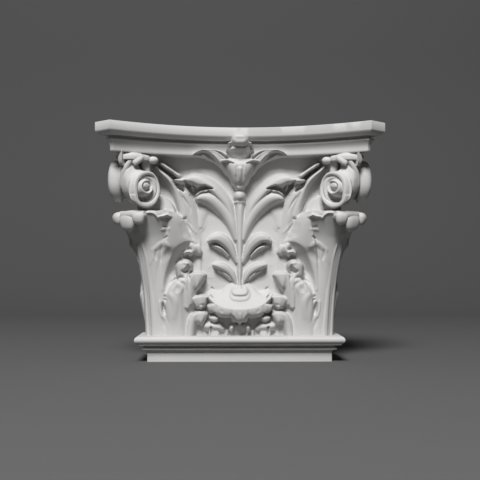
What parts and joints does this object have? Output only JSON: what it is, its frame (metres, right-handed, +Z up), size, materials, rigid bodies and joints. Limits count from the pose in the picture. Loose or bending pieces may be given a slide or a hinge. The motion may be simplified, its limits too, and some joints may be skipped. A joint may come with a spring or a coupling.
{
  "type": "pilaster capital",
  "caption": "Moulded Corinthian pilaster capital with hollow-sided abacus, corner volutes, acanthus leaves, centre flower, astragal and plain neck, flat back for a wall.",
  "frame": {"origin": "centre of the bounding box's underside: the neck's underside is at z = 0 and the flat back is at y = +0.065", "axes": "+X along the wall to the right seen from the front, +Y into the wall, +Z up"},
  "size_m": [0.34, 0.13, 0.285],
  "materials": {
    "primed_polyurethane": "matt white primer on rigid polyurethane foam"
  },
  "bodies": {
    "root": {"pilaster_capital": "primed_polyurethane"}
  },
  "joints": []
}
